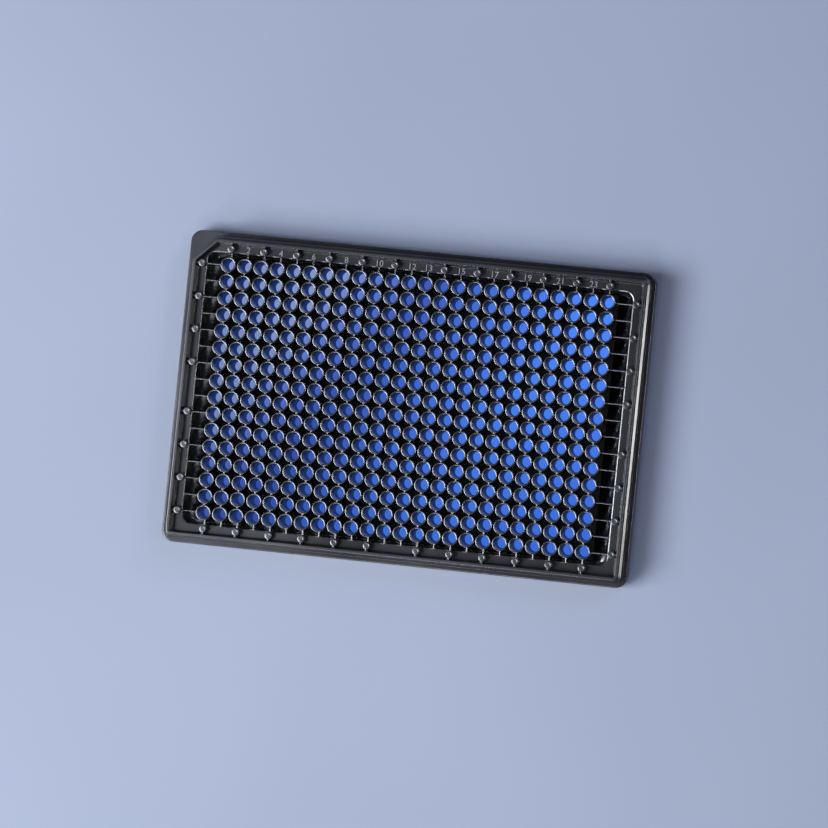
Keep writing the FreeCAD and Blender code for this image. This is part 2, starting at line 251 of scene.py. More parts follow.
def new_material(name):
    """An empty material, with its tree and its output node."""
    material = bpy.data.materials.new(name)
    material.use_nodes = True
    material.node_tree.nodes.clear()
    output = add_node(material.node_tree, "ShaderNodeOutputMaterial")
    return material, material.node_tree, output


def colour_ramp(tree, stops, source):
    """A colour ramp through (place, sRGB hex) stops, read at the source's value."""
    ramp = add_node(tree, "ShaderNodeValToRGB", links={"Fac": source})
    elements = ramp.color_ramp.elements
    while len(elements) < len(stops):
        elements.new(1.0)
    for element, (place, code) in zip(elements, stops):
        element.position = place
        element.color = linear(code)
    return ramp.outputs["Color"]


print("sRGB 808080 is", round(linear("808080")[0], 3), "in linear light")

# %% [markdown]
# ## Black polystyrene
# The body is general-purpose polystyrene filled with carbon black, moulded in a fine-ground steel
# tool. That gives a deep neutral black with a satin gloss: highlights are clear but soft. Two
# things keep it from looking like a flat colour. The tool's surface leaves a fine grain, drawn here
# at 0.35 mm, coarser than real so that it shows. And the gloss varies over some centimetres, where
# the melt cooled at a different speed, so the roughness drifts slightly.
#
# One function makes the finishes of this one plastic. The rim is a little rougher than the rest,
# because plates slide on it when they are stacked. The bosses are satin, because an ejector pin is
# coarser than the tool. The numbers are matt and painted a shade paler, a painted sheen for the
# light that their rounded tops catch, so that they can be read.

# %% Make the black polystyrene
PS_IOR = 1.59
GRAIN_MM = 0.35
GRAIN_DEPTH = 0.004
COOLING_MM = 22.0
NOISE_LOW, NOISE_HIGH = 0.3, 0.7


def black_polystyrene(name, smoothest, roughest, shine=0.5, tints=("141415", "1B1B1D")):
    """The moulded black, whose roughness drifts between two values."""
    material, tree, output = new_material(name)
    place = add_node(tree, "ShaderNodeTexCoord").outputs["Object"]
    cooling = add_node(tree, "ShaderNodeTexNoise", {"Scale": 1 / (COOLING_MM * MM), "Detail": 2.0},
                       {"Vector": place})
    gloss = add_node(tree, "ShaderNodeMapRange",
                     {"From Min": NOISE_LOW, "From Max": NOISE_HIGH,
                      "To Min": smoothest, "To Max": roughest},
                     {"Value": cooling.outputs["Fac"]})
    tint = colour_ramp(tree, [(NOISE_LOW, tints[0]), (NOISE_HIGH, tints[1])],
                       cooling.outputs["Fac"])
    grain = add_node(tree, "ShaderNodeTexNoise",
                     {"Scale": 1 / (GRAIN_MM * MM), "Detail": 3.0, "Roughness": 0.6},
                     {"Vector": place})
    bump = add_node(tree, "ShaderNodeBump", {"Strength": 0.25, "Distance": GRAIN_DEPTH * MM},
                    {"Height": grain.outputs["Fac"]})
    surface = add_node(tree, "ShaderNodeBsdfPrincipled",
                       {"IOR": PS_IOR, "Specular IOR Level": shine},
                       {"Base Color": tint, "Roughness": gloss.outputs["Result"],
                        "Normal": bump.outputs["Normal"]})
    tree.links.new(surface.outputs["BSDF"], output.inputs["Surface"])
    return material


polystyrene = black_polystyrene("moulded_black_polystyrene", 0.18, 0.23)
rim_finish = black_polystyrene("rim_black_polystyrene", 0.215, 0.26)
satin = black_polystyrene("satin_black_polystyrene", 0.25, 0.29)
# Painted sheen: the numbers' paler colour stands for the light that their rounded tops catch.
matt = black_polystyrene("matt_polystyrene_painted_sheen", 0.4, 0.5, 0.5, ("4C4C4E", "545456"))
print("black finishes:", [made.name for made in (polystyrene, rim_finish, satin, matt)])

# %% [markdown]
# ## Bores lit from below
# Light that comes up through the clear bottom is scattered by the walls of the bores. So a bore is
# blue deep down and nearly black at its lip, with a pale gleam near the lip on the side of row P
# that is strongest in row A. Tracing that light through 384 narrow wells would need very many
# samples. Instead the walls give off a faint light of their own, made from height, row and the
# way that the wall faces. It belongs to the place on the plate, so it stays right from any side.

# %% Make the bores' painted glow
# Painted glow: emission colours by height stand for the scattered light, and the gleam is a painted
# highlight near the lip.
DEPTH_GLOW_COLOURS = [(0.0, "1A3270"), (0.35, "1A2E62"), (0.75, "101E44"), (1.0, "080E1E")]
GLEAM_TINTS = [(0.0, "000000"), (0.5, "37416A"), (1.0, "66749D")]
GLEAM_SIDE = (0.2, 0.98, 0.0)
GLEAM_DEPTH = 7.0
GLEAM_ROW_P, GLEAM_ROW_A = 0.75, 1.45


def lit_bore():
    """Black polystyrene with a painted blue glow for the light that its walls scatter, stronger
    with depth.
    """
    material = black_polystyrene("bore_polystyrene_painted_glow", 0.28, 0.34, 0.0)
    tree = material.node_tree
    surface = next(node for node in tree.nodes if node.type == "BSDF_PRINCIPLED")
    place = add_node(tree, "ShaderNodeTexCoord").outputs
    axes = add_node(tree, "ShaderNodeSeparateXYZ", links={"Vector": place["Object"]})
    rise = add_node(tree, "ShaderNodeMapRange",
                    {"From Min": DECK_LOW * MM, "From Max": WELL_TOP * MM},
                    {"Value": axes.outputs["Z"]})
    scattered = colour_ramp(tree, DEPTH_GLOW_COLOURS, rise.outputs["Result"])
    height = add_node(tree, "ShaderNodeMapRange",
                      {"From Min": (WELL_TOP - GLEAM_DEPTH) * MM, "From Max": WELL_TOP * MM},
                      {"Value": axes.outputs["Z"]})
    rows = add_node(tree, "ShaderNodeMapRange",
                    {"From Min": -FIELD_Y * MM, "From Max": FIELD_Y * MM,
                     "To Min": GLEAM_ROW_P, "To Max": GLEAM_ROW_A},
                    {"Value": axes.outputs["Y"]})
    facing = add_node(tree, "ShaderNodeVectorMath", {1: GLEAM_SIDE}, {0: place["Normal"]},
                      operation="DOT_PRODUCT")
    near_lip = add_node(tree, "ShaderNodeMath", None,
                        {0: height.outputs["Result"], 1: rows.outputs["Result"]},
                        operation="MULTIPLY")
    amount = add_node(tree, "ShaderNodeMath", None,
                      {0: near_lip.outputs["Value"], 1: facing.outputs["Value"]},
                      operation="MULTIPLY", use_clamp=True)
    gleam = colour_ramp(tree, GLEAM_TINTS, amount.outputs["Value"])
    light = add_node(tree, "ShaderNodeVectorMath", None, {0: scattered, 1: gleam},
                     operation="ADD")
    tree.links.new(light.outputs["Vector"], surface.inputs["Emission Color"])
    surface.inputs["Emission Strength"].default_value = 1.0
    return material


bore_painted_glow = lit_bore()
print(bore_painted_glow.name, "has", len(bore_painted_glow.node_tree.nodes), "nodes")

# %% [markdown]
# ## Clear film
# The wells are closed by a film about 0.2 mm thick. It is clear, and its colour here is painted
# light:
# the blue of the light that comes through it, painted into the film. That cool blue lies in bands
# aslant over the plate: pale lavender beside well A1, deep blue next to it, and a clear blue
# towards column 24. A thin sheet like this is best made as a surface tinted with that painted blue
# that lets part of the light through, because real refraction in so thin a sheet adds only noise.
# It also gives off the light that it stands for, as a painted glow brighter towards row A, because
# hardly any lamp above reaches the bottom of a well 11 mm deep and 3 mm wide.

# %% Make the clear film
FILM_IOR = 1.5
FILM_COVER = 0.85
FILM_SMOOTHEST, FILM_ROUGHEST = 0.06, 0.14
FILM_CLOUD_MM = 14.0
FILM_GLOW_ROW_P, FILM_GLOW_ROW_A = 0.65, 1.04
FILM_SLANT = (1.0, -0.7, 0.0)
FILM_SPAN = 72.0
FILM_BACKLIGHT_COLOURS = [(0.0, "7A8CB2"), (0.17, "8092B8"), (0.25, "5B75BC"), (0.35, "3C59A8"),
              (0.55, "4875CE"), (0.69, "4D84DD"), (1.0, "487CDF")]


def clear_film():
    """A smooth clear film, painted with the blue of the light behind it, which it also gives off as
    a glow.
    """
    material, tree, output = new_material("clear_blue_lit_film")
    place = add_node(tree, "ShaderNodeTexCoord").outputs["Object"]
    slanted = add_node(tree, "ShaderNodeVectorMath", {1: FILM_SLANT}, {0: place},
                       operation="DOT_PRODUCT")
    across = add_node(tree, "ShaderNodeMapRange",
                      {"From Min": -FILM_SPAN * MM, "From Max": FILM_SPAN * MM},
                      {"Value": slanted.outputs["Value"]})
    axes = add_node(tree, "ShaderNodeSeparateXYZ", links={"Vector": place})
    glow = add_node(tree, "ShaderNodeMapRange",
                    {"From Min": -FIELD_Y * MM, "From Max": FIELD_Y * MM,
                     "To Min": FILM_GLOW_ROW_P, "To Max": FILM_GLOW_ROW_A},
                    {"Value": axes.outputs["Y"]})
    # Painted backlight: the film's blue base colour and its glow stand for the light from behind
    # it.
    tint = colour_ramp(tree, FILM_BACKLIGHT_COLOURS, across.outputs["Result"])
    cloud = add_node(tree, "ShaderNodeTexNoise",
                     {"Scale": 1 / (FILM_CLOUD_MM * MM), "Detail": 1.0}, {"Vector": place})
    gloss = add_node(tree, "ShaderNodeMapRange",
                     {"To Min": FILM_SMOOTHEST, "To Max": FILM_ROUGHEST},
                     {"Value": cloud.outputs["Fac"]})
    surface = add_node(tree, "ShaderNodeBsdfPrincipled",
                       {"IOR": FILM_IOR, "Alpha": FILM_COVER},
                       {"Base Color": tint, "Roughness": gloss.outputs["Result"],
                        "Emission Color": tint, "Emission Strength": glow.outputs["Result"]})
    tree.links.new(surface.outputs["BSDF"], output.inputs["Surface"])
    return material


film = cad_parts["clear_film"]
film.data.materials.clear()
film.data.materials.append(clear_film())
print("film:", len(film.data.polygons), "faces, in", film.data.materials[0].name)

# %% [markdown]
# ## The frame
# Flange, wall, shoulder, rim, tray and ledge are one continuous skin in the mould. Drawn as a
# section they are a closed line of seventeen corners, so the frame is a loft that ends where it
# began. Each corner of the section carries a bevel weight, because a real moulding has no sharp
# edge: the flange's top edge is the roundest, the rim's outer edge comes next, and the others stay
# crisp. Two slopes catch the light. The shoulder beside column 24 tilts outwards, and the last
# third of a millimetre of the ledge falls towards the moat.

# %% Loft the frame
BEVEL_MM = 0.4
ROUND, SOFT, CRISP, FAINT = 1.0, 0.8, 0.3, 0.12
SHOULDER_FALL = SHOULDER_WIDE * math.tan(math.radians(16.5))
LEDGE_EDGE = 0.32
LEDGE_FALL = 0.1


def cut_at(inset):
    """The leg of the 45 degree cut, which shrinks as the outline moves in."""
    return CORNER_CUT - CUT_SHARE * (inset - WALL_INSET)


def tilt_shoulder(loop):
    """Lowers the +X side of the shoulder's outer edge, and leaves the rest of the loop level."""
    start = HALF_X - WALL_INSET - WALL_CORNER
    return [(x, y, z - SHOULDER_FALL * max(0.0, x - start) / WALL_CORNER) for x, y, z in loop]


def make_frame():
    """The frame's closed section, walked round from the foot over the rim to the hull below."""
    foot_inset = TRAY_INSET + TRAY_DRAFT
    hull_inset = MOAT_INSET - WALL_THICK
    rim_corner = WALL_CORNER - RIM_INSET + WALL_INSET
    tray_corner = rim_corner - TRAY_INSET + RIM_INSET
    section = [
        (outline(WALL_THICK, FLANGE_CORNER - WALL_THICK, 0.0), CRISP),
        (outline(0.0, FLANGE_CORNER, 0.0), CRISP),
        (outline(0.0, FLANGE_CORNER, FLANGE_TOP), ROUND),
        (outline(WALL_INSET, WALL_CORNER, FLANGE_TOP, cut_at(WALL_INSET)), CRISP),
        (tilt_shoulder(outline(WALL_INSET, WALL_CORNER, SHOULDER, cut_at(WALL_INSET))), CRISP),
        (outline(RIM_INSET, rim_corner, SHOULDER, cut_at(RIM_INSET)), CRISP),
        (outline(RIM_INSET, rim_corner, RIM_TOP, cut_at(RIM_INSET)), SOFT),
        (outline(TRAY_INSET, tray_corner, RIM_TOP, cut_at(TRAY_INSET)), CRISP),
        (outline(foot_inset, tray_corner, LEDGE, cut_at(foot_inset)), CRISP),
        (outline(MOAT_INSET - LEDGE_EDGE, MOAT_CORNER + LEDGE_EDGE, LEDGE), FAINT),
        (outline(MOAT_INSET, MOAT_CORNER, LEDGE - LEDGE_FALL), CRISP),
        (outline(MOAT_INSET, MOAT_CORNER, DECK_TOP), CRISP),
    ]
    loops = [loop for loop, weight in section]
    weights = [weight for loop, weight in section]
    field = [(x, y) for x, y, z in outline(MOAT_INSET, MOAT_CORNER, 0.0)]
    border = [(max(-FIELD_X, min(FIELD_X, x)), max(-FIELD_Y, min(FIELD_Y, y))) for x, y in field]
    loops += [[(x, y, DECK_TOP) for x, y in border], [(x, y, DECK_LOW) for x, y in border],
              outline(hull_inset, MOAT_CORNER + WALL_THICK, DECK_LOW),
              outline(hull_inset, MOAT_CORNER + WALL_THICK, SKIRT_CEILING),
              outline(WALL_THICK, FLANGE_CORNER - WALL_THICK, SKIRT_CEILING)]
    weights += [0.0, 0.0, CRISP, CRISP, CRISP]
    mesh = loft("plate_frame", loops, ring=True, weights=weights)
    weld(mesh)
    return add_object("plate_frame", mesh, polystyrene)


plate_frame = make_frame()
print("frame:", len(plate_frame.data.polygons), "faces before its bevel")

# %% [markdown]
# ## Cells under the ledge
# A thick wall sinks as it cools, so the mould cores the ledge out from below into a row of cells.
# They are cut with a boolean, which is the direct way to take the same pocket out many times. The
# bevel runs after it, so it rounds only the edges that carry a weight.

# %% Cut the cells and round the edges
CELL_PITCH = 9.0
CELL_WALL = 1.2
CELL_OVERLAP = 0.5
CELLS_LONG = 12
CELLS_SHORT = 7


def box_mesh(bm, low, high):
    """Adds a box between two corners, in millimetres."""
    size = Vector(high) - Vector(low)
    middle = (Vector(high) + Vector(low)) / 2
    place = Matrix.Translation(middle * MM) @ Matrix.Diagonal((*(size * MM), 1))
    bmesh.ops.create_cube(bm, size=1.0, matrix=place)


def make_cells():
    """One box for each cell, all in one mesh."""
    hull_inset = MOAT_INSET - WALL_THICK
    inner_x, outer_x = HALF_X - hull_inset, HALF_X - WALL_INSET - WALL_THICK
    inner_y, outer_y = HALF_Y - hull_inset, HALF_Y - WALL_INSET - WALL_THICK
    half = (CELL_PITCH - CELL_WALL) / 2
    low, high = SKIRT_CEILING - CELL_OVERLAP, CELL_CEILING
    bm = bmesh.new()
    for side in (-1, 1):
        for i in range(CELLS_LONG):
            x = (i - (CELLS_LONG - 1) / 2) * CELL_PITCH
            y = sorted((side * inner_y, side * outer_y))
            box_mesh(bm, (x - half, y[0], low), (x + half, y[1], high))
        for i in range(CELLS_SHORT):
            y = (i - (CELLS_SHORT - 1) / 2) * CELL_PITCH
            x = sorted((side * inner_x, side * outer_x))
            box_mesh(bm, (x[0], y - half, low), (x[1], y + half, high))
    mesh = bpy.data.meshes.new("cells")
    bm.to_mesh(mesh)
    bm.free()
    return add_object("cells", mesh)


cells = make_cells()
carve = plate_frame.modifiers.new("cells", "BOOLEAN")
carve.operation = "DIFFERENCE"
carve.solver = "EXACT"
carve.object = cells
rounding = plate_frame.modifiers.new("rounding", "BEVEL")
rounding.limit_method = "WEIGHT"
rounding.width = BEVEL_MM * MM
rounding.segments = 3
rounding.harden_normals = True
settle(plate_frame)
bpy.data.objects.remove(cells)
print("frame:", len(plate_frame.data.polygons), "faces after its bevel")

# %% [markdown]
# ## The rim's finish
# The rim is part of the frame, so it gets its finish by faces: a second material goes on those
# that look up and lie at the top of the frame. The bevel's faces there are included, so the
# highlight on the rim's edge has no step.

# %% Give the rim its finish
RIM_REACH = 0.2

plate_frame.data.materials.append(rim_finish)
rim_faces = [face for face in plate_frame.data.polygons
             if face.normal.z > 0.5 and face.center.z > (RIM_TOP - RIM_REACH) * MM]
for face in rim_faces:
    face.material_index = 1
print("rim:", len(rim_faces), "faces")

# %% [markdown]
# ## Geometry Nodes for what repeats
# Wells, webs, ribs and bosses all follow the 4.5 mm grid that every plate of 384 wells shares. One
# small node tree serves them all: it lays a grid of points, puts a copy of one unit on each, makes
# the copies real, welds neighbours that touch, and sets the material. Faces that the unit marks as
# bore get a material of their own. The tree's inputs are named, so the same tree makes 384 wells or
# two rows of bosses.

# %% Build the grid tree
BORE_MARK = "bore"


def build_grid_tree():
    """A node tree that puts copies of a unit on a centred grid."""
    tree = bpy.data.node_groups.new("repeat_on_grid", "GeometryNodeTree")
    for name, kind in (("Unit", "NodeSocketObject"), ("Columns", "NodeSocketInt"),
                       ("Rows", "NodeSocketInt"), ("Step X", "NodeSocketFloat"),
                       ("Step Y", "NodeSocketFloat"), ("Weld", "NodeSocketFloat"),
                       ("Material", "NodeSocketMaterial"), ("Bore", "NodeSocketMaterial")):
        tree.interface.new_socket(name, in_out="INPUT", socket_type=kind)
    tree.interface.new_socket("Geometry", in_out="OUTPUT", socket_type="NodeSocketGeometry")
    given = add_node(tree, "NodeGroupInput").outputs

    def span(count, step):
        gaps = add_node(tree, "ShaderNodeMath", {1: 1.0}, {0: given[count]}, operation="SUBTRACT")
        return add_node(tree, "ShaderNodeMath", None, {0: gaps.outputs[0], 1: given[step]},
                        operation="MULTIPLY").outputs[0]

    grid = add_node(tree, "GeometryNodeMeshGrid", None,
                    {"Size X": span("Columns", "Step X"), "Size Y": span("Rows", "Step Y"),
                     "Vertices X": given["Columns"], "Vertices Y": given["Rows"]})
    unit = add_node(tree, "GeometryNodeObjectInfo", {"As Instance": True},
                    {"Object": given["Unit"]}, transform_space="ORIGINAL")
    copies = add_node(tree, "GeometryNodeInstanceOnPoints", None,
                      {"Points": grid.outputs["Mesh"], "Instance": unit.outputs["Geometry"]})
    real = add_node(tree, "GeometryNodeRealizeInstances", None,
                    {"Geometry": copies.outputs["Instances"]})
    welded = add_node(tree, "GeometryNodeMergeByDistance", None,
                      {"Geometry": real.outputs["Geometry"], "Distance": given["Weld"]})
    dressed = add_node(tree, "GeometryNodeSetMaterial", None,
                       {"Geometry": welded.outputs["Geometry"], "Material": given["Material"]})
    marked = add_node(tree, "GeometryNodeInputNamedAttribute", {"Name": BORE_MARK},
                      data_type="BOOLEAN")
    bored = add_node(tree, "GeometryNodeSetMaterial", None,
                     {"Geometry": dressed.outputs["Geometry"], "Material": given["Bore"],
                      "Selection": marked.outputs["Attribute"]})
    add_node(tree, "NodeGroupOutput", None, {"Geometry": bored.outputs["Geometry"]})
    return tree


grid_tree = build_grid_tree()
print("grid tree:", len(grid_tree.nodes), "nodes")

# %% [markdown]
# ## From the grid tree to a plain mesh
# A finished piece is a plain mesh without modifiers. So one function runs the tree on an empty
# object, keeps the result, and removes the unit that was copied. The inputs of the tree are set by
# the identifiers of their sockets, and all of them before the object is first evaluated.

# %% Use the grid tree
def repeat_unit(name, unit, columns, rows, step_x, step_y, weld_within=0.0):
    """A plain mesh object with a copy of the unit on each point of a centred grid."""
    item = add_object(name, bpy.data.meshes.new(name))
    modifier = item.modifiers.new("grid", "NODES")
    modifier.node_group = grid_tree
    values = {"Unit": unit, "Columns": columns, "Rows": rows, "Step X": step_x * MM,
              "Step Y": step_y * MM, "Weld": weld_within * MM,
              "Material": polystyrene, "Bore": bore_painted_glow}
    for socket in grid_tree.interface.items_tree:
        if socket.in_out == "INPUT":
            modifier[socket.identifier] = values[socket.name]
    item.data.update()
    settle(item)
    bpy.data.objects.remove(unit)
    return item


# %% [markdown]
# ## One well
# A well is a chimney: a thin tapered tube that stands on the deck and goes through it. Its lip is
# what the eye reads from above, as a bright crescent on the side that faces the light. A flat top
# would flash all over or not at all, so the lip rises to a crest a little outside its middle and
# falls to both sides, shaded smooth across the crest. The unit also holds its own square of deck,
# and the squares weld into one sheet.

# %% Draw one well
WELL_SIDES = 16
LIP_DROP_IN = 0.13
LIP_DROP_OUT = 0.08
CREST_SHARE = 0.6


def circle(radius, z):
    """A ring of a well, with a point towards each corner of its square."""
    return [(x, y, z) for x, y in arc(0, 0, radius, 0, 360, WELL_SIDES + 1)[:-1]]


def square(half, z):
    """A square loop with the points of a circle pushed out to its sides."""
    loop = []
    for x, y, _ in circle(1.0, z):
        reach = half / max(abs(x), abs(y))
        loop.append((x * reach, y * reach, z))
    return loop


def make_well():
    """A chimney with its square of deck, whose bore faces carry the mark."""
    crest = BORE_TOP_RADIUS + CREST_SHARE * (CHIMNEY_RADIUS - BORE_TOP_RADIUS)
    loops = [square(PITCH / 2, DECK_LOW), circle(BORE_BASE_RADIUS, DECK_LOW),
             circle(BORE_TOP_RADIUS, WELL_TOP - LIP_DROP_IN), circle(crest, WELL_TOP),
             circle(CHIMNEY_RADIUS, WELL_TOP - LIP_DROP_OUT), circle(CHIMNEY_RADIUS, DECK_TOP),
             square(PITCH / 2, DECK_TOP)]
    mesh = loft("one_well", loops, sharp=(1, 2, 4, 5))
    bore = mesh.attributes.new(BORE_MARK, "BOOLEAN", "FACE")
    bore.data.foreach_set("value", [WELL_SIDES <= face < 2 * WELL_SIDES
                                    for face in range(len(mesh.polygons))])
    return add_object("one_well", mesh, polystyrene)


one_well = make_well()
print("one well:", len(one_well.data.polygons), "faces")

# %% [markdown]
# ## The well field
# The grid tree lays out all the wells and welds their squares into a deck. The deck's upper and
# lower skins still end in two open borders, one above the other. A strip of faces between them
# closes the field, so it is a solid body like the real one.

# %% Make the well field
DECK_WELD = 0.002


def close_sides(bm):
    """Joins the two borders of the deck with a strip of flat faces."""
    border = [edge for edge in bm.edges if edge.is_boundary]
    for edge in border:
        edge.smooth = False
    bmesh.ops.bridge_loops(bm, edges=border)
    bmesh.ops.recalc_face_normals(bm, faces=bm.faces)


well_field = repeat_unit("well_field", one_well, COLUMNS, ROWS, PITCH, PITCH, DECK_WELD)
edit_mesh(well_field.data, close_sides)
print("well field:", len(well_field.data.polygons), "faces")

# %% [markdown]
# ## An upright plate
# Webs, ribs and the bosses' tails are all small upright plates whose top is rounded over, because a
# mould's narrow slots have round bottoms. One function draws them, from two end sections with faces
# between them. Edges that turn by less than 45 degrees are shaded smooth, so the top looks round.

# %% Draw an upright plate
CROWN_STEPS = 4
CROWN_SHARE = 0.16
SHARP_ANGLE = math.radians(45)


def upright(name, span, thick, low, high, along="Y"):
    """A thin plate with a crowned top. Its thickness and its height are given at both ends."""
    bm = bmesh.new()
    loops = []
    for end, width, top in zip(span, thick, high):
        across = np.linspace(width / 2, -width / 2, CROWN_STEPS + 1)
        section = [(-width / 2, low), (width / 2, low)]
        section += [(s, top - CROWN_SHARE * width * (2 * s / width) ** 2) for s in across]
        places = [(end, s, z) if along == "X" else (s, end, z) for s, z in section]
        loops.append([bm.verts.new(Vector(p) * MM) for p in places])
    for loop in loops:
        bm.faces.new(loop)
    for i in range(len(loops[0])):
        j = (i + 1) % len(loops[0])
        bm.faces.new((loops[0][i], loops[0][j], loops[1][j], loops[1][i]))
    bmesh.ops.recalc_face_normals(bm, faces=bm.faces)
    for face in bm.faces:
        face.smooth = True
    for edge in bm.edges:
        edge.smooth = edge.calc_face_angle() < SHARP_ANGLE
    mesh = bpy.data.meshes.new(name)
    bm.to_mesh(mesh)
    bm.free()
    return add_object(name, mesh)


def join(name, items, material=polystyrene):
    """One object out of several."""
    bm = bmesh.new()
    for item in items:
        bm.from_mesh(item.data)
        bpy.data.objects.remove(item)
    mesh = bpy.data.meshes.new(name)
    bm.to_mesh(mesh)
    bm.free()
    return add_object(name, mesh, material)


# %% [markdown]
# ## Webs and ribs
# Neighbouring chimneys of a column are tied by a thin web almost as tall as they are, and low ribs
# tie the outermost wells to the moat's wall. The webs stand on a grid with one row fewer than the
# wells have. The ribs need one line at each side of the field, so the step of their grid is the
# distance between the two sides. The ends sink into the chimney walls, but not as far as the bore.

# %% Make the webs and ribs
WEB_THICK = 0.45
RIB_THICK = 0.4
WEB_DROP = 0.45
BITE = 0.2


def make_webs():
    """Webs between the wells of each column, and ribs from the outermost wells to the frame."""
    reach = CHIMNEY_RADIUS - BITE
    foot = DECK_TOP - BITE

    def even(name, length, thick, top, along="Y"):
        return upright(name, (-length / 2, length / 2), (thick, thick), foot, (top, top), along)

    web = even("web", PITCH - 2 * reach, WEB_THICK, WELL_TOP - WEB_DROP)
    webs = repeat_unit("webs", web, COLUMNS, ROWS - 1, PITCH, PITCH)

    moat_x, moat_y = HALF_X - MOAT_INSET, HALF_Y - MOAT_INSET
    start_y, end_y = FIRST_Y + reach, moat_y + BITE
    long_rib = even("long_rib", end_y - start_y, RIB_THICK, LEDGE)
    long_ribs = repeat_unit("long_ribs", long_rib, COLUMNS, 2, PITCH, start_y + end_y)
    start_x, end_x = FIRST_X + reach, moat_x + BITE
    short_rib = even("short_rib", end_x - start_x, RIB_THICK, LEDGE, "X")
    short_ribs = repeat_unit("short_ribs", short_rib, 2, ROWS, start_x + end_x, PITCH)
    return join("webs_and_ribs", [webs, long_ribs, short_ribs])


webs_and_ribs = make_webs()
print("webs and ribs:", len(webs_and_ribs.data.polygons), "faces")

# %% [markdown]
# ## One boss
# Ejector pins push the moulding out of its tool, and each one presses on a small round boss on the
# ledge. A short tail ties the boss to the rim, and the pin leaves a faint ring on top. The boss is
# a loft through circles. Its top edge is a quarter round in two steps, and the point between them
# lies 0.3 of the radius short of the corner.

# %% Draw one boss
BOSS_RADIUS = 1.04
BOSS_TALL = 2.3
BOSS_EDGE = 0.12
MIDWAY = 0.3
BOSS_SIDES = 24
PIN_RADIUS = 0.62
PIN_MARK = 0.05
PIN_SLOPE = 0.15
TAIL_THICK = (0.75, 0.3)
TAIL_DROPS = (0.02, 0.12)
TAIL_BITES = (0.2, 0.25)
BOSS_INSET = MOAT_INSET - (MOAT_INSET - TRAY_INSET - TRAY_DRAFT) / 2


def make_boss(along):
    """A boss at the origin, whose tail runs along X or Y and ends in the rim."""
    top = LEDGE + BOSS_TALL

    def ring(radius, z):
        return [(x, y, z) for x, y in arc(0, 0, radius, 0, 360, BOSS_SIDES + 1)[:-1]]

    loops = [ring(BOSS_RADIUS, LEDGE - BITE), ring(BOSS_RADIUS, top - BOSS_EDGE),
             ring(BOSS_RADIUS - BOSS_EDGE * MIDWAY, top - BOSS_EDGE * MIDWAY),
             ring(BOSS_RADIUS - BOSS_EDGE, top),
             ring(PIN_RADIUS, top), ring(PIN_RADIUS - PIN_SLOPE, top - PIN_MARK)]
    mesh = loft("boss", loops, sharp=(0, 1, 4, 5))

    def cap(bm):
        bmesh.ops.holes_fill(bm, edges=[e for e in bm.edges if e.is_boundary], sides=0)
        bmesh.ops.recalc_face_normals(bm, faces=bm.faces)

    edit_mesh(mesh, cap)
    boss = add_object("boss", mesh)
    span = (BOSS_RADIUS - TAIL_BITES[0], BOSS_INSET - TRAY_INSET + TAIL_BITES[1])
    heights = (top - TAIL_DROPS[0], top - TAIL_DROPS[1])
    tail = upright("tail", span, TAIL_THICK, LEDGE - BITE, heights, along)
    return join("boss", [boss, tail])


# %% [markdown]
# ## Bosses on the ledge
# The bosses stand at every second well, counted from each corner. So each side has two half rows
# with a wider gap between them: the grid tree makes one half row, and then runs again with that
# half row as its unit. The opposite side has the same row turned half round, which keeps its tails
# pointing at the rim.

# %% Set out the bosses
def both_sides(item, offset):
    """Moves a row of bosses to its side, and adds the same row turned half round."""
    def work(bm):
        bmesh.ops.translate(bm, verts=bm.verts, vec=Vector(offset) * MM)
        twin = bmesh.ops.duplicate(bm, geom=bm.verts[:] + bm.edges[:] + bm.faces[:])
        verts = [v for v in twin["geom"] if isinstance(v, bmesh.types.BMVert)]
        bmesh.ops.rotate(bm, verts=verts, matrix=Matrix.Rotation(math.pi, 3, "Z"))
    edit_mesh(item.data, work)
    return item


def make_bosses():
    """Two rows of twelve along the long sides, and two columns of eight along the short ones."""
    along = repeat_unit("half_row", make_boss("Y"), COLUMNS // 4, 1, 2 * PITCH, 0)
    along = repeat_unit("long_rows", along, 2, 1, PITCH * (COLUMNS / 2 + 1), 0)
    beside = repeat_unit("half_column", make_boss("X"), 1, ROWS // 4, 0, 2 * PITCH)
    beside = repeat_unit("short_rows", beside, 1, 2, 0, PITCH * (ROWS / 2 + 1))
    both_sides(along, (0, HALF_Y - BOSS_INSET, 0))
    both_sides(beside, (HALF_X - BOSS_INSET, 0, 0))
    return join("ledge_bosses", [along, beside], satin)


ledge_bosses = make_bosses()
print("bosses:", len(ledge_bosses.data.polygons), "faces")

# %% [markdown]
# ## Column numbers
# Plain numbers are raised on the ledge above row A, between the bosses, so that a user can count
# columns. A text object gives clean figures, and it becomes a mesh before it is moved,
# because a text keeps its place in its object and not in its points. Its front, back and sides
# come as loose sheets, and welding them makes each figure a closed body.

# %% Make the column numbers
NUMBER_TALL = 1.65
NUMBER_PROUD = 0.12
NUMBER_EDGE = 0.06
CAP_SHARE = 0.7
NUMBER_FROM_MOAT = 1.15


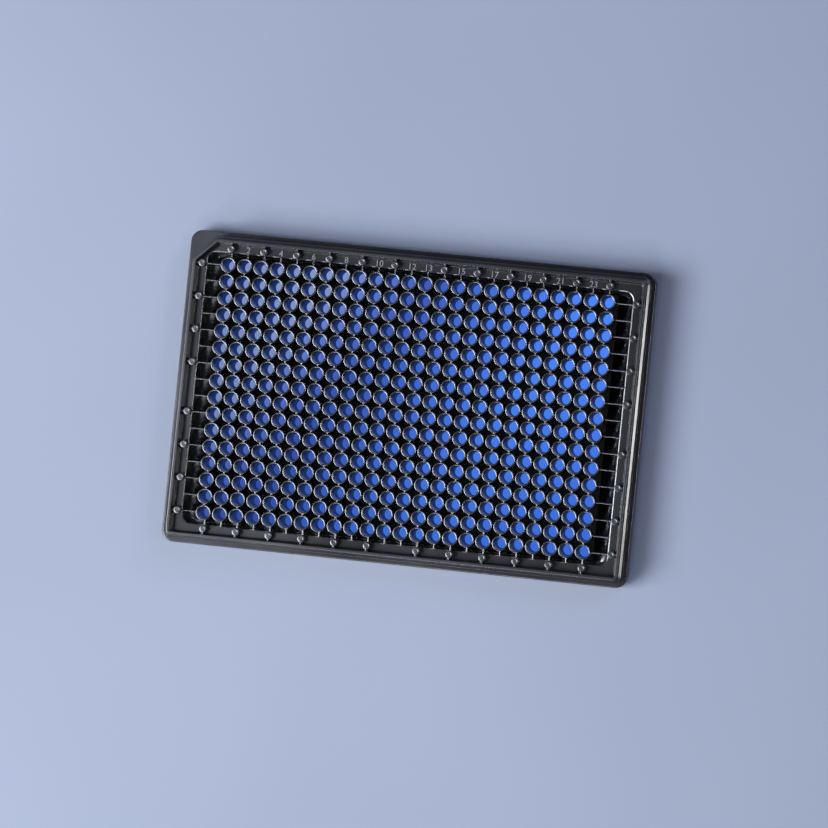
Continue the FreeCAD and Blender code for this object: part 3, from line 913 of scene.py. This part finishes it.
def make_numbers():
    """Every second number from 2 to 12, and every second one from 13 to 23."""
    middle = HALF_Y - MOAT_INSET + NUMBER_FROM_MOAT
    half = COLUMNS // 2
    columns = list(range(2, half + 1, 2)) + list(range(half + 1, COLUMNS, 2))
    items = []
    for column in columns:
        curve = bpy.data.curves.new(f"number_{column}", "FONT")
        curve.body = str(column)
        curve.size = NUMBER_TALL / CAP_SHARE * MM
        curve.extrude = NUMBER_PROUD * MM
        curve.bevel_depth = NUMBER_EDGE * MM
        curve.offset = -NUMBER_EDGE / 2 * MM
        curve.bevel_resolution = 1
        curve.resolution_u = 3
        curve.align_x = "CENTER"
        curve.align_y = "CENTER"
        text = add_object(f"number_{column}", curve)
        mesh = bpy.data.meshes.new_from_object(text)
        bpy.data.objects.remove(text)
        weld(mesh)
        x = (column - (COLUMNS + 1) / 2) * PITCH
        mesh.transform(Matrix.Translation(Vector((x, middle, LEDGE)) * MM))
        items.append(add_object(f"figure_{column}", mesh))
    return join("column_numbers", items, matt)


column_numbers = make_numbers()
print("numbers:", len(column_numbers.data.polygons), "faces")

# %% [markdown]
# ## What rides on what
# The plate has no moving part, so every piece rides on the one body. The new pieces together
# stand for the moulding of the construction model, which is then hidden.

# %% Tie the pieces to the body
for piece in (plate_frame, well_field, webs_and_ribs, ledge_bosses, column_numbers):
    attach(piece, "root")
    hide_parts("plate_body")
    print(piece.name, "rides on the body, with", len(piece.data.polygons), "faces")

# %% [markdown]
# ## Floor
# The plate lies on a plain pale floor, large enough to fill the view from any side. It is one flat
# face, in a matt grey-blue that drifts a little, as a painted board does.

# %% Lay the floor
FLOOR_HALF = 3000.0
FLOOR_CLOUD_MM = 1000 / 6
FLOOR_TINTS = ("646A75", "6A707B")


def make_floor():
    """The floor, which belongs to the stage and not to the part."""
    material, tree, output = new_material("pale_floor")
    place = add_node(tree, "ShaderNodeTexCoord").outputs["Object"]
    cloud = add_node(tree, "ShaderNodeTexNoise",
                     {"Scale": 1 / (FLOOR_CLOUD_MM * MM), "Detail": 2.0}, {"Vector": place})
    tint = colour_ramp(tree, [(NOISE_LOW, FLOOR_TINTS[0]), (NOISE_HIGH, FLOOR_TINTS[1])],
                       cloud.outputs["Fac"])
    surface = add_node(tree, "ShaderNodeBsdfPrincipled", {"Roughness": 0.7}, {"Base Color": tint})
    tree.links.new(surface.outputs["BSDF"], output.inputs["Surface"])
    half = FLOOR_HALF * MM
    mesh = bpy.data.meshes.new("floor")
    mesh.from_pydata([(-half, -half, 0), (half, -half, 0), (half, half, 0), (-half, half, 0)], [],
                     [(0, 1, 2, 3)])
    floor = add_object("floor", mesh, material)
    return floor


floor = make_floor()
print("floor:", round(floor.dimensions.x, 2), "m wide")

# %% [markdown]
# ## Lights
# A glossy black part is drawn by what it reflects, so each light here has an edge to draw. The
# large key light stands at the lower left: it draws the crescents on the lips and throws soft
# shadows to the upper right. A small light at the right finds the tilted shoulder beside column 24
# and makes its long bright band. One in front lights the near edge of the rim and the bosses below
# it. A weak bluish one at the upper right gives the far side of each lip its second, cooler
# crescent. The room adds a little even light.

# %% Set up the lights
def add_light(name, direction, distance, size, power, tint="FFFFFF"):
    """A square soft light aimed at the plate, from an azimuth and an elevation in degrees."""
    turn, rise = (math.radians(angle) for angle in direction)
    toward = Vector((math.cos(rise) * math.cos(turn), math.cos(rise) * math.sin(turn),
                     math.sin(rise)))
    data = bpy.data.lights.new(name, "AREA")
    data.shape = "SQUARE"
    data.size = size
    data.energy = power
    data.color = linear(tint)[:3]
    lamp = bpy.data.objects.new(name, data)
    bpy.context.scene.collection.objects.link(lamp)
    lamp.location = toward * distance
    lamp.rotation_euler = toward.to_track_quat("Z", "Y").to_euler()
    return lamp


add_light("key_lower_left", (204, 55), 0.95, 0.48, 24.0, "EDF2FF")
add_light("edge_right", (0, 60.5), 1.3, 0.14, 2.8)
add_light("edge_front", (262, 54), 1.2, 0.25, 4.5, "EDF2FF")
add_light("fill_upper_right", (52, 50), 1.1, 0.5, 5.0, "B4C2FF")

world = bpy.data.worlds.new("soft_room")
bpy.context.scene.world = world
world.use_nodes = True
world.node_tree.nodes.clear()
room = add_node(world.node_tree, "ShaderNodeBackground",
                {"Color": linear("D9E0EE"), "Strength": 0.12})
add_node(world.node_tree, "ShaderNodeOutputWorld", None, {"Surface": room.outputs["Background"]})
bpy.context.scene.view_settings.view_transform = "Standard"

# %% [markdown]
# ## Camera
# The photograph looks down on the plate from a little over a metre, tipped a few degrees towards
# column 24 and turned a few degrees about the line of sight. A long lens keeps the wells of both
# ends almost equally large.

# %% Set up the camera
CAMERA_TILT = 6.288
CAMERA_SIDE = 0.325
CAMERA_ROLL = 5.782
CAMERA_DISTANCE = 1218.88
AIM = (2.739, -1.427, WELL_TOP)
FOCAL_PIXELS = 4520.3
FRAME_PIXELS = 828
SENSOR = 36.0


def make_camera():
    """A camera aimed at AIM, tipped and turned as in the photograph."""
    tilt, side = math.radians(CAMERA_TILT), math.radians(CAMERA_SIDE)
    toward = Vector((math.sin(tilt) * math.cos(side), math.sin(tilt) * math.sin(side),
                     math.cos(tilt)))
    data = bpy.data.cameras.new("camera")
    data.sensor_fit = "HORIZONTAL"
    data.sensor_width = SENSOR
    data.lens = FOCAL_PIXELS * SENSOR / FRAME_PIXELS
    data.clip_start = 0.05
    camera = bpy.data.objects.new("camera", data)
    bpy.context.scene.collection.objects.link(camera)
    level = Vector((0, 1, 0)).cross(toward).normalized()
    up = toward.cross(level)
    turn = Matrix.Rotation(math.radians(CAMERA_ROLL), 3, toward)
    right, up = turn @ level, turn @ up
    pose = Matrix((right, up, toward)).transposed().to_4x4()
    pose.translation = (Vector(AIM) + toward * CAMERA_DISTANCE) * MM
    camera.matrix_world = pose
    bpy.context.scene.camera = camera
    return camera


camera = make_camera()
print("camera at", [round(v / MM, 1) for v in camera.matrix_world.translation], "mm")
